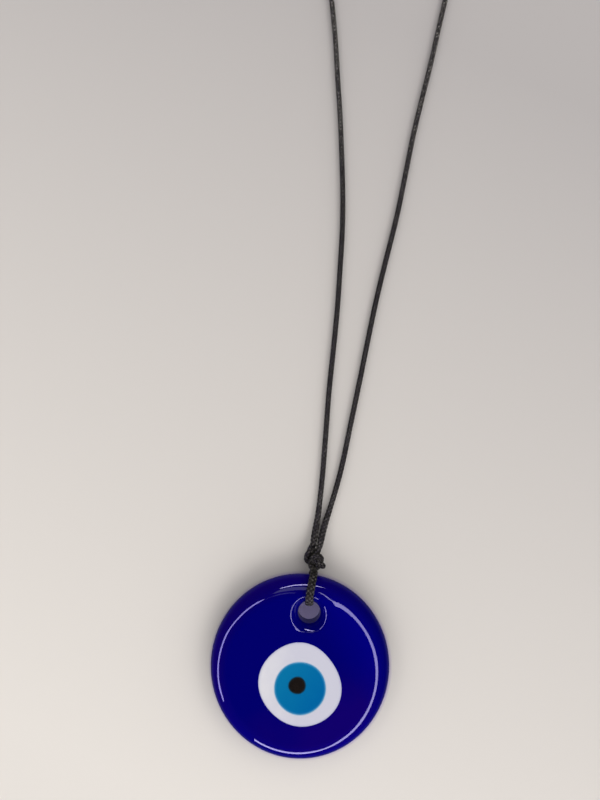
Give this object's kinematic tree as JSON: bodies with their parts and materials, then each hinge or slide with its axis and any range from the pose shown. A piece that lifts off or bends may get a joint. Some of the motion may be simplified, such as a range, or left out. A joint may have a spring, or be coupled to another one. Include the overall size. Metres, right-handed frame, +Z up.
{
  "type": "evil eye pendant",
  "caption": "Round blue glass pendant with a fused eye of white, light blue and dark glass, hung by a knotted loop on a thin waxed neck cord, lying face up.",
  "frame": {"origin": "on the table under the middle of the glass disc as it lies", "axes": "+Z up out of the table and roughly out of the face of the disc, +Y from the disc up the cord towards the neck, +X to the right as seen from above"},
  "size_m": [0.071, 0.282, 0.0093],
  "materials": {
    "cobalt_glass": "deep cobalt blue poured glass, fire-polished",
    "white_glass": "opaque milk-white glass, fire-polished",
    "light_blue_glass": "opaque light blue glass, fire-polished",
    "dark_glass": "opaque brown-black glass, fire-polished",
    "waxed_cord": "braided cotton, dark brown-grey, waxed"
  },
  "bodies": {
    "root": {"glass_disc": "cobalt_glass", "eye_white": "white_glass", "eye_iris": "light_blue_glass", "eye_pupil": "dark_glass", "hanging_loop": "waxed_cord", "cord_knot": "waxed_cord", "neck_cord_left": "waxed_cord", "neck_cord_right": "waxed_cord", "tie_knot": "waxed_cord"}
  },
  "joints": []
}
